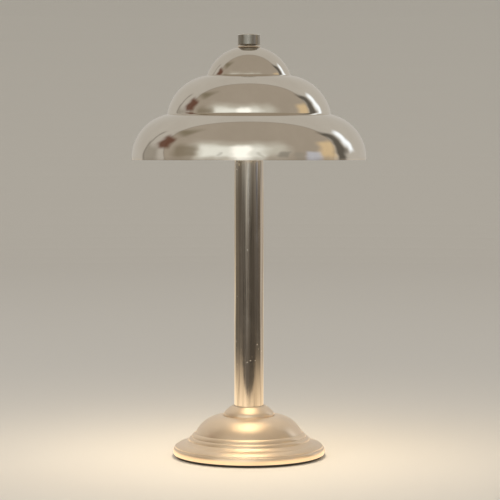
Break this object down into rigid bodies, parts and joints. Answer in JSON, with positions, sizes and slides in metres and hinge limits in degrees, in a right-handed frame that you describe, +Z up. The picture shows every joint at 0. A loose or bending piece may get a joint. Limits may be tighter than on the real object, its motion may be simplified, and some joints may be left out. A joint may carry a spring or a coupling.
{
  "type": "table lamp",
  "caption": "Cordless metal table lamp with a stepped three-tier dome shade, tube stem, stepped round base and a turn-and-press dimmer knob.",
  "frame": {"origin": "centre of the foot pad's underside, on the surface that the lamp stands on", "axes": "+Z up along the stem; +Y towards the back, where the charging socket is; +X to the right seen from the front"},
  "size_m": [0.2, 0.2, 0.3616],
  "materials": {
    "polished_nickel": "mirror-polished nickel on spun steel",
    "stem_nickel": "polished nickel with fine draw lines",
    "satin_nickel": "satin-polished nickel with turning lines",
    "knob_nickel": "darker satin nickel",
    "aluminium": "machined",
    "zinc_steel": "zinc-plated steel",
    "brass": "turned brass",
    "cast_iron": "black cast iron",
    "opal_diffuser": "opal acrylic, lit warm white",
    "led_phosphor": "LED phosphor, lit",
    "led_board_white": "white solder mask",
    "circuit_board": "green solder mask",
    "black_plastic": "moulded black plastic",
    "fibre_washer": "red vulcanised fibre",
    "black_rubber": "matt black rubber",
    "cell_wrap": "plain blue shrink wrap",
    "cable_jacket": "black cable jacket"
  },
  "bodies": {
    "lamp": {"base_collar": "satin_nickel", "base_cover": "satin_nickel", "base_nipple": "zinc_steel", "base_nut": "zinc_steel", "base_plate": "zinc_steel", "base_screw_1": "zinc_steel", "base_screw_2": "zinc_steel", "base_screw_3": "zinc_steel", "base_weight": "cast_iron", "battery_cell_1": "cell_wrap", "battery_cell_2": "cell_wrap", "battery_tray": "black_plastic", "bezel_screw_1": "zinc_steel", "bezel_screw_2": "zinc_steel", "bezel_screw_3": "zinc_steel", "charge_board": "circuit_board", "charge_lead": "cable_jacket", "control_board": "circuit_board", "diffuser": "opal_diffuser", "diffuser_bezel": "satin_nickel", "dimmer_body": "zinc_steel", "dimmer_cover": "black_plastic", "foot_pad": "black_rubber", "head_housing": "zinc_steel", "head_screw_1": "zinc_steel", "head_screw_2": "zinc_steel", "head_screw_3": "zinc_steel", "heat_sink": "aluminium", "housing_screw_1": "zinc_steel", "housing_screw_2": "zinc_steel", "led_1": "led_phosphor", "led_2": "led_phosphor", "led_3": "led_phosphor", "led_4": "led_phosphor", "led_5": "led_phosphor", "led_6": "led_phosphor", "led_7": "led_phosphor", "led_8": "led_phosphor", "led_board": "led_board_white", "lock_washer": "zinc_steel", "shade": "polished_nickel", "shade_collar": "satin_nickel", "shade_washer": "fibre_washer", "stem": "stem_nickel", "stem_cable": "cable_jacket", "stem_foot_bush": "brass", "stem_head": "brass", "usb_socket": "zinc_steel"},
    "rotor": {"dimmer_rotor": "black_plastic"},
    "knob": {"dimmer_knob": "knob_nickel", "dimmer_shaft": "brass"}
  },
  "joints": [
    {"name": "dimmer_turn", "type": "hinge", "parent": "lamp", "child": "rotor", "pos_m": [0, 0, 0.341], "axis": [0, 0, 1], "range_deg": [-150, 150]},
    {"name": "knob_press", "type": "slide", "parent": "rotor", "child": "knob", "axis": [0, 0, -1], "range_m": [0, 0.0007], "stiffness_N_per_m": 3000, "springref_m": -0.0004}
  ]
}
